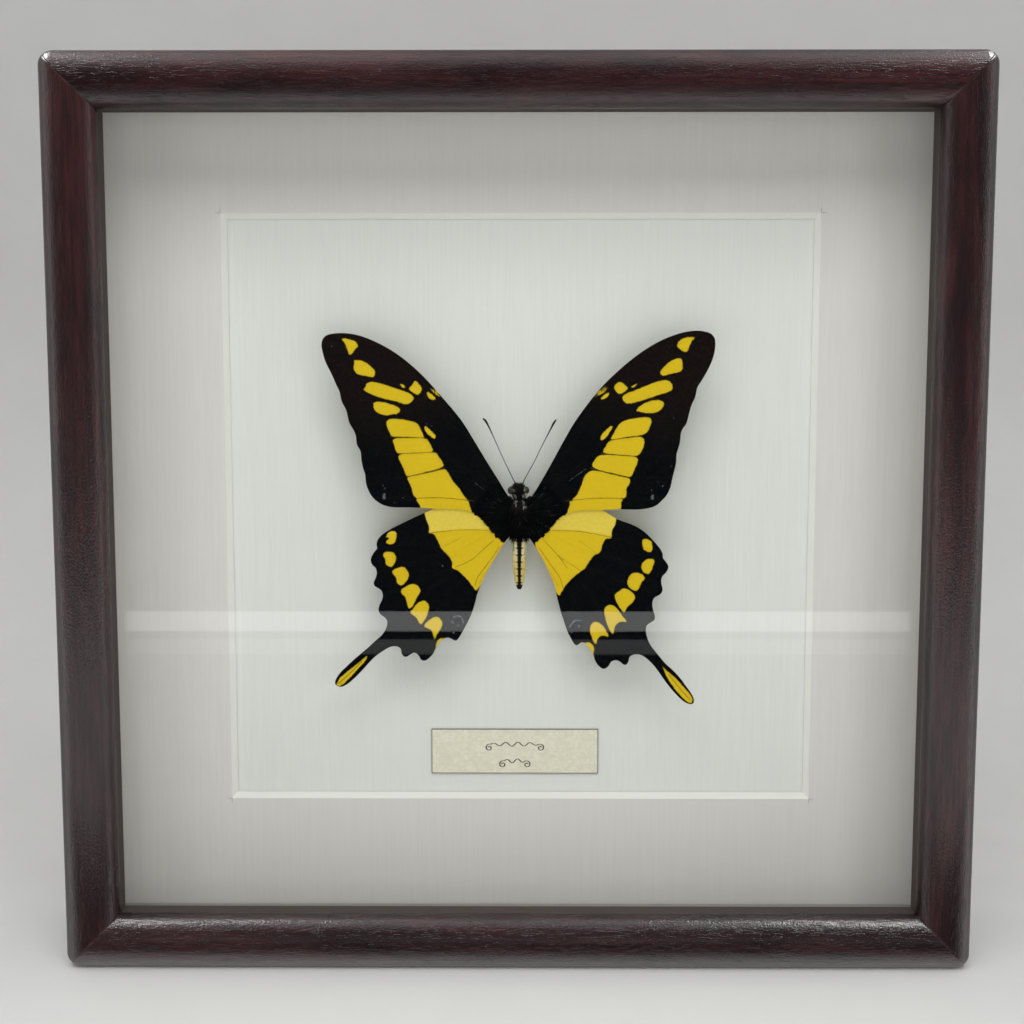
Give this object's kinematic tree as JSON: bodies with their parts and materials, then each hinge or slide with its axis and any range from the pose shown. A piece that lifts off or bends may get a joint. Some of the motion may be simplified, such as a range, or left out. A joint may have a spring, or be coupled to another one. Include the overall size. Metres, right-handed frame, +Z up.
{
  "type": "framed butterfly specimen",
  "caption": "Deep, almost square glazed frame of dark half-round moulding, holding a spread black and yellow swallowtail on a pin above a window mat, with a blank ornamented label card.",
  "frame": {"origin": "middle of the frame's footprint, on the surface it stands on", "axes": "+Z up, +X to the right of a viewer who faces the glass, glass faces -Y, back faces +Y"},
  "size_m": [0.2244, 0.041, 0.222],
  "materials": {
    "moulding": "dark mahogany stain under satin lacquer",
    "glass": "clear float glass",
    "card": "matt white mat board with a fine streaked face",
    "label_paper": "cream laid paper with a thin printed border",
    "butterfly_body": "black hair and scales, yellow flanks on the abdomen",
    "wing_scales": "brown-black scales with yellow bands and spots",
    "steel": "bright drawn steel",
    "brass": "brass plated",
    "hardboard": "brown hardboard"
  },
  "bodies": {
    "root": {"frame_top": "moulding", "frame_bottom": "moulding", "frame_left": "moulding", "frame_right": "moulding", "glass_pane": "glass", "lining_top": "card", "lining_bottom": "card", "lining_left": "card", "lining_right": "card", "window_mat": "card", "mount_board": "card", "label_card": "label_paper", "butterfly_body": "butterfly_body", "forewing_left": "wing_scales", "forewing_right": "wing_scales", "hindwing_left": "wing_scales", "hindwing_right": "wing_scales", "specimen_pin": "steel", "back_board": "hardboard", "point_bottom_1": "steel", "point_bottom_2": "steel", "point_left_1": "steel", "point_left_2": "steel", "point_top_1": "steel", "point_top_2": "steel", "point_right_1": "steel", "point_right_2": "steel", "hanger": "brass", "hanger_nail_left": "brass", "hanger_nail_right": "brass"}
  },
  "joints": []
}
